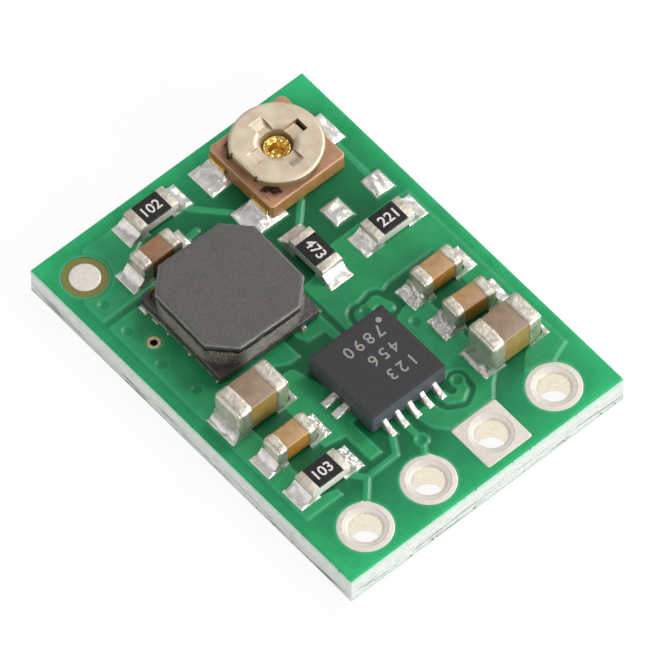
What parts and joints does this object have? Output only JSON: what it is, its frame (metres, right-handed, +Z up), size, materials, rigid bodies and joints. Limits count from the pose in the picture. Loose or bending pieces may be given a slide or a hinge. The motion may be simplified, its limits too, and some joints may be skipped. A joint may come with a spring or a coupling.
{
  "type": "step-up converter module",
  "caption": "Small green circuit board with a row of plated pin holes, a trimmer, a shielded inductor, a leadless chip and chip parts, which raises a voltage.",
  "frame": {"origin": "middle of the board's underside", "axes": "+X along the pin row, +Y from the pin row to the trimmer, +Z up out of the parts side"},
  "size_m": [0.011, 0.0148, 0.0025],
  "materials": {
    "laminate": "cut glass-epoxy laminate",
    "copper": "plain copper",
    "solder_mask": "satin-gloss green solder mask",
    "tin": "matte tin",
    "solder": "bright solder",
    "base_plastic": "dark moulded plate",
    "ferrite": "matte ground ferrite",
    "adhesive": "dark cured adhesive",
    "mould_compound": "matte epoxy mould compound",
    "silicon": "polished silicon",
    "trimmer_plastic": "satin brown moulding",
    "track": "printed resistive track",
    "gold_brass": "gold-coloured plated brass",
    "rotor_metal": "satin plated pressed metal",
    "alumina": "white alumina",
    "overcoat": "black glass overcoat",
    "brown_ceramic": "satin fired ceramic",
    "tan_ceramic": "satin fired ceramic",
    "grey_ceramic": "satin fired ceramic"
  },
  "bodies": {
    "board": {"substrate": "laminate", "copper_foil_top": "copper", "copper_foil_bottom": "copper", "solder_mask_top": "solder_mask", "solder_mask_bottom": "solder_mask", "via_plating": "tin", "fiducial_disc": "tin", "spare_pad_solder": "solder", "resistor_solder": "solder", "capacitor_solder": "solder", "inductor_solder": "solder", "chip_solder": "solder", "trimmer_solder": "solder", "inductor_base": "base_plastic", "inductor_core": "ferrite", "inductor_ring": "ferrite", "inductor_winding": "copper", "inductor_adhesive": "adhesive", "inductor_terminals": "tin", "chip_body": "mould_compound", "chip_leads": "tin", "chip_thermal_pad": "tin", "chip_die": "silicon", "trimmer_base": "trimmer_plastic", "trimmer_track": "track", "trimmer_rivet": "gold_brass", "trimmer_wiper_terminal": "gold_brass", "trimmer_end_terminals": "gold_brass", "plated_hole_1": "tin", "plated_hole_2": "tin", "plated_hole_3": "tin", "plated_hole_4": "tin", "resistor_1_body": "alumina", "resistor_1_terminals": "tin", "resistor_1_overcoat": "overcoat", "resistor_2_body": "alumina", "resistor_2_terminals": "tin", "resistor_2_overcoat": "overcoat", "resistor_3_body": "alumina", "resistor_3_terminals": "tin", "resistor_3_overcoat": "overcoat", "resistor_4_body": "alumina", "resistor_4_terminals": "tin", "resistor_4_overcoat": "overcoat", "small_capacitor_1_body": "brown_ceramic", "small_capacitor_1_terminals": "tin", "small_capacitor_2_body": "tan_ceramic", "small_capacitor_2_terminals": "tin", "small_capacitor_3_body": "tan_ceramic", "small_capacitor_3_terminals": "tin", "small_capacitor_4_body": "tan_ceramic", "small_capacitor_4_terminals": "tin", "large_capacitor_1_body": "grey_ceramic", "large_capacitor_1_terminals": "tin", "large_capacitor_2_body": "grey_ceramic", "large_capacitor_2_terminals": "tin"},
    "rotor": {"trimmer_rotor": "rotor_metal", "trimmer_wiper": "gold_brass"}
  },
  "joints": [
    {"name": "rotor_turn", "type": "hinge", "parent": "board", "child": "rotor", "pos_m": [0.00273, 0.00543, 0.00212], "axis": [0, 0, 1], "continuous": true}
  ]
}
